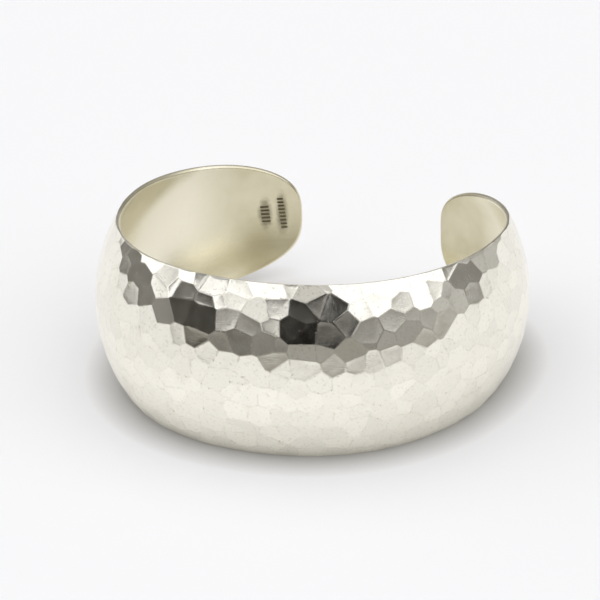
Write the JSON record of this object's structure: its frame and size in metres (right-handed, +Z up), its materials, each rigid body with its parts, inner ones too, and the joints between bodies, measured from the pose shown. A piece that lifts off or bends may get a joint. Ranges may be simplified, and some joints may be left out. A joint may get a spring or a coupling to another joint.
{
  "type": "hammered domed cuff bracelet",
  "caption": "Silver cuff bracelet: a wide domed band with a hammered outside and a smooth inside, open at the back with rounded ends, lying on its side.",
  "frame": {"origin": "centre of the bounding box, on the surface that the cuff rests on", "axes": "+Z up as the cuff lies on its side, -Y towards the wide front, +Y through the gap between the ends, +X to the right seen from the front"},
  "size_m": [0.0668, 0.061, 0.028],
  "materials": {
    "silver": "polished sterling silver with a faint warm tarnish: flat mirror facets outside, a soft satin inside"
  },
  "bodies": {
    "root": {"cuff": "silver"}
  },
  "joints": []
}
